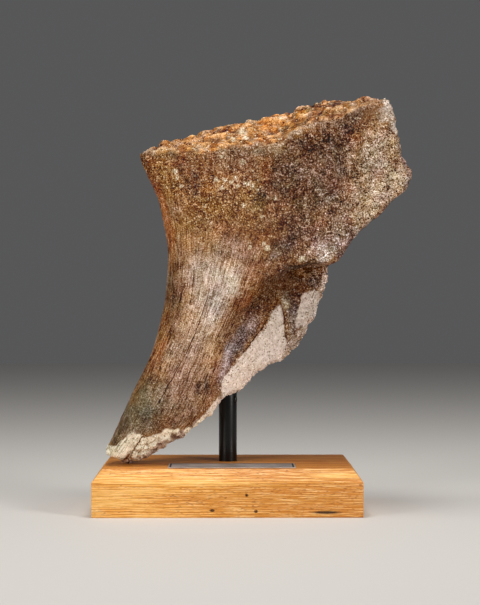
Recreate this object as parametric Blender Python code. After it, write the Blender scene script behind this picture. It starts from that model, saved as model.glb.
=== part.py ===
# Fossil mammoth hip-bone fragment, standing on a black rod in a chamfered oak base
# with a thin label plate. Metres, Z up, front towards -Y.
# The origin is the centre of the base's underside.

import math
import random

import bmesh
import bpy

MM = 0.001

# Stand
BASE_WIDTH = 260.0
BASE_DEPTH = 150.0
BASE_HEIGHT = 46.0
CHAMFER_IN = 10.0
CHAMFER_DOWN = 12.6
EDGE_EASE = 0.8
ROD_RADIUS = 9.0
ROD_X = 0.4
ROD_Y = 6.0
SOCKET_DEPTH = 26.0
ROD_TOP = 154.0
FIT_GAP = 0.3
PLATE_WIDTH = 123.0
PLATE_DEPTH = 36.0
PLATE_THICKNESS = 0.8
PLATE_X = 4.2
PLATE_Y = -46.4

# Bone mesh
CELLS_ACROSS = 84
CELLS_THROUGH = 12
CELLS_UP = 108
BONE_TRIANGLES = 8800

# Left border of the bone, from the tip up to the crest: x and z, evenly spaced rows.
LEFT_BORDER = [
    (-119.5, 59.0), (-98.3, 105.7), (-75.8, 154.5), (-63.8, 201.0), (-59.2, 245.0),
    (-62.8, 278.0), (-70.4, 310.1), (-83.4, 338.9), (-87.6, 353.5),
]

# Right border, from the tip along the lower break, the hollow's edge, the lower edge of
# the wing, the corner and the broken end of the crest: row (0 to 24), x and z.
RIGHT_BORDER = [
    (0.0, -98.6, 46.6), (1.0, -80.5, 52.4), (2.0, -60.0, 66.2), (3.0, -47.9, 71.5),
    (4.0, -31.4, 83.6), (5.0, -17.0, 93.0), (6.0, -5.6, 109.0), (7.0, 10.4, 115.6),
    (8.0, 26.2, 132.5), (9.0, 40.4, 142.3), (10.0, 58.6, 149.0), (11.0, 74.0, 166.0),
    (12.0, 88.0, 190.4), (13.0, 94.8, 212.6), (14.0, 101.0, 233.0), (15.0, 102.0, 242.3),
    (15.6, 112.0, 247.6), (17.0, 126.6, 271.0), (18.6, 151.0, 291.8), (20.2, 176.6, 317.8),
    (20.8, 180.0, 330.2), (21.4, 172.6, 341.7), (22.2, 167.6, 360.2), (23.2, 164.6, 382.6),
    (24.0, 158.4, 400.6),
]

# Heights of the crest's front lip and of its back edge: x and z.
FRONT_LIP = [
    (-87.0, 351.0), (-51.0, 351.5), (-25.0, 352.0), (5.0, 357.0), (35.0, 359.0),
    (49.0, 361.0), (69.0, 373.0), (88.0, 380.0), (107.0, 383.0), (137.0, 397.0),
    (156.0, 400.0),
]
BACK_EDGE = [
    (-87.0, 353.0), (-76.0, 358.0), (-62.0, 363.0), (-35.0, 370.0), (-18.0, 375.5),
    (4.0, 382.0), (32.0, 388.0), (64.0, 394.0), (74.0, 399.5), (105.0, 403.5),
    (144.0, 403.5), (158.0, 400.0),
]

# Depth of the front and back faces. Every row runs from the left border to the right one
# in six steps. The shaft's rows go up from the tip, the wing's rows end at the crest.
SHAFT_FRONT = [
    (-46, -48, -48, -46, -44, -42),
    (-44, -50, -50, -48, -45, -38),
    (-34, -40, -41, -37, -31, -22),
    (-26, -32, -35, -27, -22, -20),
    (-23, -29, -31, -12, -2, -3),
    (-22, -27, -24, -4, 6, 7),
]
WING_FRONT = [
    (-23, -29, -30, -24, -20, -24),
    (-22, -27, -27, -19, -19, -29),
    (-20, -26, -23, -11, -30, -40),
    (-18, -23, -19, -8, -38, -48),
    (-14, -24, -26, -28, -42, -48),
]
BACK = [
    (-8, -4, -3, -4, -6, -8),
    (-2, 4, 7, 8, 6, 2),
    (14, 24, 28, 30, 30, 28),
    (24, 33, 38, 39, 38, 36),
    (27, 35, 39, 39, 37, 35),
    (26, 33, 37, 37, 34, 31),
    (22, 30, 33, 28, 8, -12),
    (18, 28, 32, 27, 0, -20),
    (12, 24, 32, 32, 6, -14),
]
LEFT_ROUNDING = [12, 15, 18, 20, 20, 18, 16, 13, 10]

# Lower edge of the wing, which overhangs the hollow: x and z.
LEDGE = [(-10.0, 196.0), (22.0, 216.0), (45.0, 230.0), (66.0, 240.0), (85.0, 243.0),
         (112.0, 244.0)]

# Upper outlines of the two slanting break faces, on the lower edge and at the tip.
LOWER_BREAK = [(92.0, 222.0), (75.0, 212.0), (56.0, 194.0), (34.0, 180.0), (22.0, 166.0),
               (5.0, 146.0), (-6.0, 122.0), (-14.0, 104.0)]
TIP_BREAK = [(-40.0, 84.0), (-54.0, 83.0), (-74.0, 79.0), (-86.0, 72.0), (-93.0, 79.0),
             (-107.0, 73.0), (-117.0, 58.0)]


def clamp(value, low=0.0, high=1.0):
    return max(low, min(high, value))


def ease(value):
    value = clamp(value)
    return value * value * (3.0 - 2.0 * value)


def along(values, t):
    """Smooth curve through evenly spaced numbers or points."""
    last = len(values) - 1
    place = clamp(t) * last
    i = min(int(place), last - 1)
    f = place - i
    p0 = values[max(i - 1, 0)]
    p1 = values[i]
    p2 = values[i + 1]
    p3 = values[min(i + 2, last)]

    def mix(a, b, c, d):
        return b + 0.5 * f * (c - a + f * (2 * a - 5 * b + 4 * c - d + f * (3 * (b - c) + d - a)))

    if isinstance(p1, tuple):
        return tuple(mix(a, b, c, d) for a, b, c, d in zip(p0, p1, p2, p3))
    return mix(p0, p1, p2, p3)


def right_border(row):
    """Straight lines through the broken border's points."""
    for (ra, xa, za), (rb, xb, zb) in zip(RIGHT_BORDER, RIGHT_BORDER[1:]):
        if row <= rb:
            f = (row - ra) / (rb - ra)
            return xa + (xb - xa) * f, za + (zb - za) * f
    return RIGHT_BORDER[-1][1:]


def height_at(points, x):
    """Height of an outline given as x and z, above the place x."""
    if x <= points[0][0]:
        return points[0][1]
    for (xa, za), (xb, zb) in zip(points, points[1:]):
        if x <= xb:
            return za + (zb - za) * ease((x - xa) / (xb - xa))
    return points[-1][1]


def depth(rows, across, t):
    """Depth from a table of rows, smooth both ways."""
    return along([along(row, across) for row in rows], t)


def beyond(outline, x, z):
    """How far a place lies below an outline that runs from right to left, else zero."""
    best = None
    for (xa, za), (xb, zb) in zip(outline, outline[1:]):
        dx = xb - xa
        dz = zb - za
        f = clamp(((x - xa) * dx + (z - za) * dz) / (dx * dx + dz * dz))
        gap = math.hypot(x - xa - dx * f, z - za - dz * f)
        side = dx * (z - za) - dz * (x - xa)
        if best is None or gap < best[0]:
            best = (gap, side)
    return best[0] if best[1] > 0 else 0.0


def soft_start(value):
    return value * value / (value + 4.0) if value > 0.0 else 0.0


def rumple(x, z, size, seed):
    """Gentle uneven surface between -1 and 1."""
    a = math.sin(x / size + seed) * math.sin(z / (size * 0.83) + 1.7 * seed)
    b = math.sin((x + z) / (size * 0.57) + 2.3 * seed)
    c = math.cos((x - 0.6 * z) / (size * 0.71))
    return 0.6 * a + 0.4 * b * c


def crest_lumps():
    """Rounded lumps on the crest: place along it, place through it, radius and height."""
    chance = random.Random(11)
    lumps = []
    for i in range(20):
        for j in range(4):
            x = -82.0 + 12.4 * i + (6.0 if j % 2 else 0.0) + chance.uniform(-3.0, 3.0)
            y = (j + 0.5) / 4.0 + chance.uniform(-0.08, 0.08)
            lumps.append((x, y, chance.uniform(5.5, 9.0), chance.uniform(1.6, 3.8)))
    return lumps


LUMPS = crest_lumps()


def lump_height(x, through, thickness):
    top = 0.0
    for lx, ly, radius, height in LUMPS:
        away = math.hypot(x - lx, (through - ly) * thickness) / radius
        if away < 1.0:
            top = max(top, height * (1.0 - away * away))
    return top


def bone_point(u, w, v):
    """Place of one point of the box-shaped mesh: across, through from front to back, up."""
    s = 2.0 * w - 1.0
    lx, lz = along(LEFT_BORDER, v)
    rx, rz = right_border(24.0 * v)
    length = math.hypot(rx - lx, rz - lz)

    # Both borders are rounded: the left one widely, the broken right one a little.
    left_round = min(along(LEFT_ROUNDING, v), 0.42 * length)
    right_round = min(7.0, 0.2 * length)
    turn = math.radians(60.0)
    left_start = left_round * (1.0 - math.cos(turn))
    right_start = right_round * (1.0 - math.cos(turn))
    place = left_start + (length - left_start - right_start) * u ** 1.12
    left_fade = ease(1.0 - u / 0.16)
    right_fade = ease(1.0 - (1.0 - u) / 0.08)
    place -= left_fade * left_round * (math.cos(s * turn) - math.cos(turn))
    place += right_fade * right_round * (math.cos(s * turn) - math.cos(turn))
    through = s + (math.sin(s * turn) / math.sin(turn) - s) * max(left_fade, right_fade)

    q = place / length
    x = lx + (rx - lx) * q
    z = lz + (rz - lz) * q

    # Front face: the shaft and the hollow below the ledge, the wing above it.
    shaft = depth(SHAFT_FRONT, q, v * 24.0 / 15.0)
    wing = depth(WING_FRONT, q, (v * 24.0 - 12.0) / 12.0)
    soft = 4.0 + 34.0 * ease((66.0 - x) / 50.0)
    under = ease((height_at(LEDGE, x) - z) / soft + 0.2)
    front = shaft * under + wing * (1.0 - under)
    back = depth(BACK, q, v)
    low_slant = 0.72 * soft_start(beyond(LOWER_BREAK, x, z))
    tip_slant = 0.55 * soft_start(beyond(TIP_BREAK, x, z)) if x < -38.0 else 0.0
    front += min(max(low_slant, tip_slant), 0.55 * (back - front))

    # Uneven surface, stronger on the wing and on broken places.
    front += 1.1 * rumple(x, z, 17.0, 1.0)
    back += 1.6 * rumple(x, z, 21.0, 4.0)

    middle = 0.5 * (front + back)
    half = 0.5 * (back - front)
    left_shape = math.sqrt(1.0 - (1.0 - min(max(place, left_start) / left_round, 1.0)) ** 2)
    rest = length - place
    right_shape = math.sqrt(1.0 - (1.0 - min(max(rest, right_start) / right_round, 1.0)) ** 2)
    y = middle + half * left_shape * right_shape * through

    # The crest: the front lip is lower than the back edge, and the band between is lumpy.
    crest = ease((v - 0.74) / 0.26)
    top_x, top_z = along(LEFT_BORDER, 1.0)
    end_x, end_z = right_border(24.0)
    chord = top_z + (end_z - top_z) * q
    crest_x = top_x + (end_x - top_x) * q
    low = height_at(FRONT_LIP, crest_x)
    high = height_at(BACK_EDGE, crest_x)
    z += crest * (low + (high - low) * ease(0.1 + 0.9 * w) - chord)
    if v > 0.999:
        band = lump_height(x, w, 2.0 * half)
        z += 0.92 * band
        y -= 0.38 * band
        z += 3.0 * (1.0 - s * s) * ease(q / 0.3) * ease((1.0 - q) / 0.1)

    # Ragged broken border on the right, with the chipped steps of the tip.
    ragged = ease((u - 0.9) / 0.1) * ease((1.0 - s * s) * 2.0 + 0.35)
    x += ragged * 1.5 * rumple(z, y, 4.3, 2.0)
    z += ragged * 1.3 * rumple(x, y, 3.7, 5.0)
    if v < 0.001:
        z += 1.6 * abs(rumple(x, y, 5.0, 3.0))
    return x * MM, y * MM, z * MM


def new_object(name, bm):
    mesh = bpy.data.meshes.new(name)
    bm.normal_update()
    bm.to_mesh(mesh)
    bm.free()
    obj = bpy.data.objects.new(name, mesh)
    bpy.context.scene.collection.objects.link(obj)
    return obj


def give_material(obj, name, colour, metallic, roughness):
    mat = bpy.data.materials.new(name)
    mat.use_nodes = True
    shader = mat.node_tree.nodes["Principled BSDF"]
    shader.inputs["Base Color"].default_value = (*colour, 1.0)
    shader.inputs["Metallic"].default_value = metallic
    shader.inputs["Roughness"].default_value = roughness
    obj.data.materials.append(mat)


def cylinder(name, x, y, low, high, radius, sides):
    bm = bmesh.new()
    bmesh.ops.create_cone(bm, cap_ends=True, segments=sides, radius1=radius * MM,
                          radius2=radius * MM, depth=(high - low) * MM)
    bmesh.ops.translate(bm, verts=bm.verts, vec=(x * MM, y * MM, 0.5 * (low + high) * MM))
    return new_object(name, bm)


def cut(obj, cutter):
    cutter.hide_render = True
    cutter.display_type = "WIRE"
    boolean = obj.modifiers.new("cut " + cutter.name, "BOOLEAN")
    boolean.operation = "DIFFERENCE"
    boolean.solver = "EXACT"
    boolean.object = cutter


def split_edges_along(bm, axis, cells):
    """Cut every edge that runs along one axis into equal pieces."""
    edges = []
    for edge in bm.edges:
        span = edge.verts[1].co - edge.verts[0].co
        if abs(span[axis]) > 0.5 * span.length:
            edges.append(edge)
    bmesh.ops.subdivide_edges(bm, edges=edges, cuts=cells - 1, use_grid_fill=True)


def make_bone():
    bm = bmesh.new()
    bmesh.ops.create_cube(bm, size=1.0)
    bmesh.ops.translate(bm, verts=bm.verts, vec=(0.5, 0.5, 0.5))
    for axis, cells in enumerate((CELLS_ACROSS, CELLS_THROUGH, CELLS_UP)):
        split_edges_along(bm, axis, cells)
    for vert in bm.verts:
        vert.co = bone_point(*vert.co)
    bmesh.ops.triangulate(bm, faces=bm.faces)
    faces = len(bm.faces)
    bone = new_object("pelvis_fragment", bm)
    fewer = bone.modifiers.new("fewer facets", "DECIMATE")
    fewer.ratio = BONE_TRIANGLES / faces
    fewer.use_collapse_triangulate = True
    bore = cylinder("rod_bore", ROD_X, ROD_Y, 60.0, ROD_TOP + FIT_GAP,
                    ROD_RADIUS + FIT_GAP, 32)
    cut(bone, bore)
    give_material(bone, "fossil_bone", (0.36, 0.25, 0.16), 0.0, 0.62)
    return bone


def make_base():
    bm = bmesh.new()
    bmesh.ops.create_cube(bm, size=1.0)
    bmesh.ops.scale(bm, verts=bm.verts, vec=(BASE_WIDTH * MM, BASE_DEPTH * MM, BASE_HEIGHT * MM))
    bmesh.ops.translate(bm, verts=bm.verts, vec=(0.0, 0.0, 0.5 * BASE_HEIGHT * MM))
    # The top narrows: a second ring at the chamfer's foot, then the top face drawn in.
    top = [f for f in bm.faces if f.normal.z > 0.9]
    shoulder = (BASE_HEIGHT - CHAMFER_DOWN) * MM
    ring = {vert for face in top for vert in face.verts}
    for vert in ring:
        vert.co.z = shoulder
    raised = bmesh.ops.extrude_face_region(bm, geom=top)["geom"]
    bmesh.ops.delete(bm, geom=top, context="FACES")
    for vert in [g for g in raised if isinstance(g, bmesh.types.BMVert)]:
        vert.co.z = BASE_HEIGHT * MM
        vert.co.x -= math.copysign(CHAMFER_IN * MM, vert.co.x)
        vert.co.y -= math.copysign(CHAMFER_IN * MM, vert.co.y)
    base = new_object("oak_base", bm)
    eased = base.modifiers.new("eased edges", "BEVEL")
    eased.width = EDGE_EASE * MM
    eased.segments = 2
    eased.limit_method = "ANGLE"
    eased.angle_limit = math.radians(20.0)
    socket = cylinder("rod_socket", ROD_X, ROD_Y, BASE_HEIGHT - SOCKET_DEPTH,
                      BASE_HEIGHT + 20.0, ROD_RADIUS + FIT_GAP, 48)
    cut(base, socket)
    give_material(base, "oak", (0.55, 0.33, 0.14), 0.0, 0.45)
    return base


def make_rod():
    low = BASE_HEIGHT - SOCKET_DEPTH + FIT_GAP
    rod = cylinder("stand_rod", ROD_X, ROD_Y, low, ROD_TOP, ROD_RADIUS, 48)
    eased = rod.modifiers.new("eased ends", "BEVEL")
    eased.width = 0.6 * MM
    eased.segments = 2
    eased.limit_method = "ANGLE"
    eased.angle_limit = math.radians(50.0)
    give_material(rod, "black_metal", (0.02, 0.02, 0.022), 1.0, 0.4)
    return rod


def make_plate():
    bm = bmesh.new()
    bmesh.ops.create_cube(bm, size=1.0)
    size = (PLATE_WIDTH * MM, PLATE_DEPTH * MM, PLATE_THICKNESS * MM)
    bmesh.ops.scale(bm, verts=bm.verts, vec=size)
    middle = BASE_HEIGHT + FIT_GAP + 0.5 * PLATE_THICKNESS
    bmesh.ops.translate(bm, verts=bm.verts, vec=(PLATE_X * MM, PLATE_Y * MM, middle * MM))
    plate = new_object("label_plate", bm)
    corners = plate.modifiers.new("worn edges", "BEVEL")
    corners.width = 0.15 * MM
    corners.segments = 1
    give_material(plate, "plate_metal", (0.62, 0.61, 0.60), 1.0, 0.35)
    return plate


for old in list(bpy.data.objects):
    bpy.data.objects.remove(old, do_unlink=True)

make_base()
make_rod()
make_plate()
make_bone()
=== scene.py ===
# %% [markdown]
# # A fossil mammoth hip-bone fragment on a museum stand
# The object has four pieces: the bone, a black rod that carries it, a chamfered oak block and
# a thin metal label plate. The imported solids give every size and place. This lesson dresses
# them: the bone gets its lumps, grain, cracks and broken faces as real relief, and every
# surface gets a procedural finish.

# %% Load the frame
import math

import bmesh
import bpy
import numpy as np
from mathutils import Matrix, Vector, noise


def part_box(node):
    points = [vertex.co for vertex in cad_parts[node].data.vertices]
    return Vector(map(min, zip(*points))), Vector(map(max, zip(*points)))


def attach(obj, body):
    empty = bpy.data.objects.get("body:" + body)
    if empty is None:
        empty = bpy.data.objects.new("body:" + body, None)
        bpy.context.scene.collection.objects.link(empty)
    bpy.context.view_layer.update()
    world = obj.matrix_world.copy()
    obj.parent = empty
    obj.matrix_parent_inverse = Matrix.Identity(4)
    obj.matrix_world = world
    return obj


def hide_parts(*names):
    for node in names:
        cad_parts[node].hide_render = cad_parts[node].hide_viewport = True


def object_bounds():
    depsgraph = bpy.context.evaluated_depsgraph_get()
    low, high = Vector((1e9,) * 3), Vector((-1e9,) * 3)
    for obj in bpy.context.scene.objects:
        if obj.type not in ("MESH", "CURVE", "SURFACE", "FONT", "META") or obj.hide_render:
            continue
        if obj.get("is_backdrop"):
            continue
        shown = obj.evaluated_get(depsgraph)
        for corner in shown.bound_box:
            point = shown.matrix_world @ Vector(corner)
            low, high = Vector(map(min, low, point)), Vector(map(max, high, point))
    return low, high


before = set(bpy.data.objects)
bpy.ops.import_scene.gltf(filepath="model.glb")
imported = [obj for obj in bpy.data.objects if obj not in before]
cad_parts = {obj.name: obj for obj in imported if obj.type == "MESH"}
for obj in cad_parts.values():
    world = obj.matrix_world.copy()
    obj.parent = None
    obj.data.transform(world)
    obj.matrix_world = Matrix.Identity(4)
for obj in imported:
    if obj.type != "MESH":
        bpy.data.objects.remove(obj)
cad_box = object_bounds()
print("nodes:", sorted(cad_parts))

# %% [markdown]
# ## Small helpers
# All measures below are in millimetres, as a maker would take them from the object, and MM
# turns them into Blender's metres. Each helper does one job that several pieces share.

# %% Units and mesh helpers
MM = 0.001


def add_object(name, data):
    """A new object in the scene, for a mesh, a light or a camera."""
    thing = bpy.data.objects.new(name, data)
    bpy.context.scene.collection.objects.link(thing)
    return thing


def place_piece(name, mesh, stands_for):
    """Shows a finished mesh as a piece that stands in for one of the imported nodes."""
    piece = add_object(name, mesh)
    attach(piece, "root")
    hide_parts(stands_for)
    print(name, len(mesh.polygons), "faces")


def mesh_from(bm, name):
    """A mesh made from a bmesh, which isn't needed any more."""
    mesh = bpy.data.meshes.new(name)
    bm.to_mesh(mesh)
    bm.free()
    return mesh


def with_modifiers(mesh, *settings):
    """The mesh as it looks after a few modifiers, each given as its type and options."""
    holder = add_object("holder", mesh)
    for kind, options in settings:
        modifier = holder.modifiers.new(kind.lower(), kind)
        for key, value in options.items():
            setattr(modifier, key, value)
    ready = holder.evaluated_get(bpy.context.evaluated_depsgraph_get())
    result = bpy.data.meshes.new_from_object(ready)
    bpy.data.objects.remove(holder)
    return result


# %% Soft steps, for one value or many
def ease(values, low, high):
    """Nought below low, one above high, and a soft step between."""
    t = np.clip((np.asarray(values, float) - low) / (high - low), 0.0, 1.0)
    return t * t * (3.0 - 2.0 * t)


def fade(values, low, high):
    """One below low, nought above high, and a soft step between."""
    return 1.0 - ease(values, low, high)


def held_back(*pairs):
    """One, lowered by each pair's share where that pair's mask is strong."""
    result = 1.0
    for share, mask in pairs:
        result = result * (1.0 - share * mask)
    return result


# %% [markdown]
# ## The bone's relief: copying and softening the solid
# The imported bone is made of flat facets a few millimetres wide. A copy is merged, turned into
# an even mesh of small squares with a voxel remesh, and smoothed, so the facets go while the
# form stays. The relief of the real bone is then raised on it point by point. A sculpted mesh
# would need a hand at each place, and noise in code gives the same result every run.

# %% An even, smooth copy of the bone
VOXEL = 1.5
SMOOTH_ROUNDS = 11

bm = bmesh.new()
bm.from_mesh(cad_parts["pelvis_fragment"].data)
bmesh.ops.remove_doubles(bm, verts=bm.verts, dist=0.02 * MM)
bone_mesh = with_modifiers(
    mesh_from(bm, "bone_copy"),
    ("REMESH", {"mode": "VOXEL", "voxel_size": VOXEL * MM}),
    ("SMOOTH", {"factor": 0.5, "iterations": SMOOTH_ROUNDS}),
)
count = len(bone_mesh.vertices)
print("bone points:", count)


# %% Points and normals as arrays
def read_rows(values, key):
    """One row of three numbers for each point of the bone."""
    flat = np.zeros(count * 3, np.float32)
    values.foreach_get(key, flat)
    return flat.reshape(-1, 3).astype(float)


points = read_rows(bone_mesh.vertices, "co") / MM
normals = read_rows(bone_mesh.vertex_normals, "vector")
x, y, z = points.T  # these look into points, so they follow when the relief moves it
to_right, to_back, upward = normals.T
to_front = -to_back
facing_front = ease(to_front, 0.05, 0.45)
print("bone spans", np.round(points.min(0)), np.round(points.max(0)))

# %% [markdown]
# ## Noise fields
# Bone shows detail of many sizes. A noise field gives each point a smooth random number, and
# a cell field gives how far a point is from the edge between rounded cells, which makes lumps.
# Every use has a seed of its own, so no two look alike and each run gives the same bone.


# %% Noise helpers
def noise_field(places, size, seed, octaves=1):
    """Smooth noise from about -1 to 1 that changes over the given size in millimetres."""
    shift = Vector((seed * 17.3, seed * 5.1, seed * 9.7))
    if octaves == 1:
        return np.array([noise.noise(Vector(p) / size + shift) for p in places])
    return np.array([noise.fractal(Vector(p) / size + shift, 0.8, 2.0, octaves)
                     for p in places])


def cell_field(places, size, seed):
    """Cells: how far in from the edge between two of them, a random number that is the same
    all over one cell, and a dome that is one at the cell's middle and falls off roundly."""
    shift = Vector((seed * 7.7, seed * 3.9, seed * 11.1))
    gaps, lots, domes = [], [], []
    for p in places:
        near, middles = noise.voronoi(Vector(p) / size + shift)
        gaps.append(near[1] - near[0])
        lots.append(0.5 + 0.5 * noise.cell(middles[0] * 7.3))
        domes.append(max(0.0, 1.0 - (near[0] / 0.9) ** 2))
    return np.array(gaps), np.array(lots), np.array(domes)


# %% [markdown]
# ## Grain that follows the bone
# The fibres of the bone run up the shaft and fan out towards the crest. Each point gets a
# place across the flow and a place along it. Streaks, cracks and fibres read these two
# numbers, so they bend with the bone as the real ones do.

# %% Flow of the grain
FLOW_HEIGHTS = [50, 90, 120, 150, 180, 210, 240, 270, 300, 330, 360, 410]
FLOW_MIDDLE = [-98, -66, -52, -40, -27, -16, -8, -2, 6, 14, 22, 30]
FLOW_HALF = [26, 38, 40, 40, 41, 45, 51, 60, 74, 92, 108, 122]
GRAIN_HALF = 46.0

across = (x - np.interp(z, FLOW_HEIGHTS, FLOW_MIDDLE)) / np.interp(z, FLOW_HEIGHTS, FLOW_HALF)
grain = np.stack([across * GRAIN_HALF, z, y], axis=1)
shaft = fade(z + 30.0 * ease(across, -0.75, -0.45), 272, 338) * fade(across, 0.75, 1.3)
print("grain runs from", round(across.min(), 2), "to", round(across.max(), 2))

# %% [markdown]
# ## Zones of the surface
# The crest band lies between its front lip and its back edge and is knobbly. The broken faces
# are outlined by a few points each. An outline is made ragged by shifting each point of the
# bone a little with noise before it is tested.

# %% Outlines, as x and z
FRONT_LIP = [(-90, 350), (-51, 350), (-25, 351), (5, 355), (35, 358), (49, 359), (60, 367),
             (72, 373), (88, 379), (107, 381), (116, 388), (137, 396), (160, 399)]
LEDGE = [(26, 222), (45, 231), (66, 240), (85, 243), (100, 243), (118, 245)]
BREAKS = {
    "lower break": [(52.5, 203), (45, 196), (41.5, 190), (39.5, 184), (35, 178), (31, 172),
                    (24, 166), (17, 156), (11, 150), (6, 144), (2.5, 139), (-3, 133),
                    (-5.5, 125), (-7, 116), (-8, 106), (10, 100), (34, 118), (50, 140),
                    (55, 150), (60, 157), (60, 165), (58.5, 171), (57, 178), (56, 186),
                    (54.5, 196)],
    "upper break": [(75, 212.5), (79, 215), (86, 218), (94, 214), (92, 200), (87, 190),
                    (80, 180), (68, 179), (69, 187), (69.5, 196), (72.5, 202)],
    "edge strip": [(-4, 109), (-6, 102), (-13, 94), (-21, 87), (-29, 80), (-35, 76),
                   (-42, 76), (-44, 78.5), (-39, 81.5), (-32, 86), (-25, 92), (-18, 100.5),
                   (-12.5, 108), (-8.5, 112)],
    "tip flake": [(-124, 62), (-115.5, 65), (-108, 65.5), (-104, 71), (-91, 80), (-82, 76),
                  (-88, 67), (-93, 60), (-100, 53), (-108, 48), (-124, 50)],
    "tip end": [(-83, 73), (-75, 76), (-57, 82), (-47, 82), (-45, 79), (-54, 77), (-56, 70),
                (-61, 72), (-68, 66), (-76, 60), (-90, 46), (-97, 50), (-92, 60), (-87, 67)],
}
SPONGE = [(127, 379), (143, 385), (152, 383), (170, 392), (190, 380), (190, 320), (170, 292),
          (128, 262), (118, 278), (113, 296), (117, 312), (121, 330), (121, 346), (124, 366)]


# %% Places inside an outline, beside a line or under a spot
def inside(outline, px, pz):
    """True where places lie inside an outline."""
    result = np.zeros(len(px), bool)
    for (xa, za), (xb, zb) in zip(outline, outline[1:] + outline[:1]):
        crosses = (za > pz) != (zb > pz)
        if za != zb:
            result ^= crosses & (px < xa + (pz - za) * (xb - xa) / (zb - za))
    return result


def line_side(line, px, pz):
    """Distance to the nearest part of a line of points, negative on its right-hand side."""
    nearest = np.full(len(px), 1e9)
    side = np.ones(len(px))
    for (xa, za), (xb, zb) in zip(line, line[1:]):
        dx, dz = xb - xa, zb - za
        t = np.clip(((px - xa) * dx + (pz - za) * dz) / (dx * dx + dz * dz), 0, 1)
        away = np.hypot(px - xa - dx * t, pz - za - dz * t)
        left = np.where(dx * (pz - za) - dz * (px - xa) < 0, -1.0, 1.0)
        side = np.where(away < nearest, left, side)
        nearest = np.minimum(nearest, away)
    return nearest * side


def edge_distance(outline, px, pz):
    """Distance to an outline's nearest side, positive inside and negative outside."""
    away = np.abs(line_side(outline + outline[:1], px, pz))
    return np.where(inside(outline, px, pz), away, -away)


def leaning_spot(px, pz, mid_x, mid_z, half_x, half_z, lean=0.0, strength=1.0):
    """How strongly an oval spot, turned by its lean in degrees, covers each place."""
    turn = math.radians(lean)
    u = ((px - mid_x) * math.cos(turn) + (pz - mid_z) * math.sin(turn)) / half_x
    v = ((pz - mid_z) * math.cos(turn) - (px - mid_x) * math.sin(turn)) / half_z
    return strength * np.exp(-1.1 * (u * u + v * v))


# %% Masks for the crest and its front lip
wobble_x = 1.5 * noise_field(points, 6.0, 1) + 0.8 * noise_field(points, 2.4, 2)
wobble_z = 1.5 * noise_field(points, 6.0, 3) + 0.8 * noise_field(points, 2.4, 4)
shifted_x, shifted_z = x + wobble_x, z + wobble_z
lip_x, lip_z = zip(*FRONT_LIP)
above_lip = shifted_z - np.interp(shifted_x, lip_x, lip_z)
crest = ease(above_lip, -1.5, 2.0) * ease(upward, 0.05, 0.35)
lip = np.exp(-((above_lip - 0.6) / 4.8) ** 2) * np.maximum(facing_front, 0.8 * crest)

# %% Masks for the flat breaks, the spongy wing and the crest's broken end
flat_breaks = {}
for name, outline in BREAKS.items():
    flat_breaks[name] = edge_distance(outline, shifted_x, shifted_z)
inner = np.max(list(flat_breaks.values()), axis=0)
front_break = ease(inner, -0.3, 0.7) * ease(to_front, -0.25, 0.05)
blots = noise_field(points, 14.0, 24, octaves=4)
sponge = ease(edge_distance(SPONGE, x, z) + 15 * blots + 2 * wobble_x, -6, 12)
sponge *= ease(0.6 * to_right + to_front, -0.1, 0.3)
crest_end = np.maximum(ease(shifted_x + 5 * blots, 148, 152),
                       ease(to_right, 0.45, 0.6) * ease(x, 110, 125))
crest_end *= ease(shifted_z + 14 * blots, 374, 380) * ease(to_right, -0.5, 0.2)

# %% Masks for the hollow and the thin broken edges
hollow = np.maximum(leaning_spot(x, z, 48, 218, 34, 20, 18),
                    leaning_spot(x, z, 20, 178, 13, 30, -34, 0.9))
right_edge = ease(to_right, 0.4, 0.65) * (1.0 - crest) * ease(x, 30, 60)
underside = ease(-upward, 0.5, 0.8) * fade(z, 225, 250)
wing_under = ease(0.5 * to_right - 0.85 * upward, 0.45, 0.7) * ease(z, 240, 250)
wing_under *= fade(z, 322, 330)
wing_back = wing_under * fade(to_front, 0.0, 0.22)
lower_rim = ease(to_right - upward, 0.35, 0.75) * fade(z, 225, 250)
lower_rim *= fade(to_front, 0.35, 0.6)
edges = np.maximum.reduce([right_edge, underside, lower_rim, wing_back])
edges *= fade(hollow, 0.25, 0.5)
broken = np.clip(np.maximum.reduce([front_break, crest_end, edges]), 0, 1)
print("broken share", round(float(broken.mean()), 2), "crest share", round(float(crest.mean()), 2))

# %% [markdown]
# ## Raising the relief
# Each kind of relief is a height in millimetres along the surface's own direction, so the
# kinds can be made one by one and added at the end. The crest comes first. On the real bone
# it is a band of rounded knobs with smaller ones on and between them, where muscle was
# anchored. Two sizes of cells make the domes, and a warp of the places keeps them irregular.

# %% Crest knobs and pits
warp = np.stack([noise_field(points, 9.0, seed) for seed in (21, 22, 23)], axis=1)
bent = points + 4.0 * warp
knob_gap, knob_lot, knob_dome = cell_field(bent, 13.0, 1)
small_gap, small_lot, small_dome = cell_field(bent, 6.6, 2)
rough = noise_field(points, 5.0, 5, octaves=4)
knobs = (1.2 + 2.6 * knob_lot) * knob_dome - 1.5
knobs += (0.6 + 1.2 * small_lot) * small_dome - 0.7 - 1.2 * ease(x, 90, 120)
crest_height = crest * (knobs + 0.3 * rough)
print("crest knobs up to", round(crest_height.max(), 1), "mm high")

# %% [markdown]
# ## Fibres, cracks and grooves
# The shaft is drawn out in fine fibres, with a few long cracks that opened as it dried, and
# shallow grooves run down from the crest's lip at the left. The fibres are noise stretched
# along the grain. Cracks and grooves have places of their own, so each is a line of points.

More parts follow.
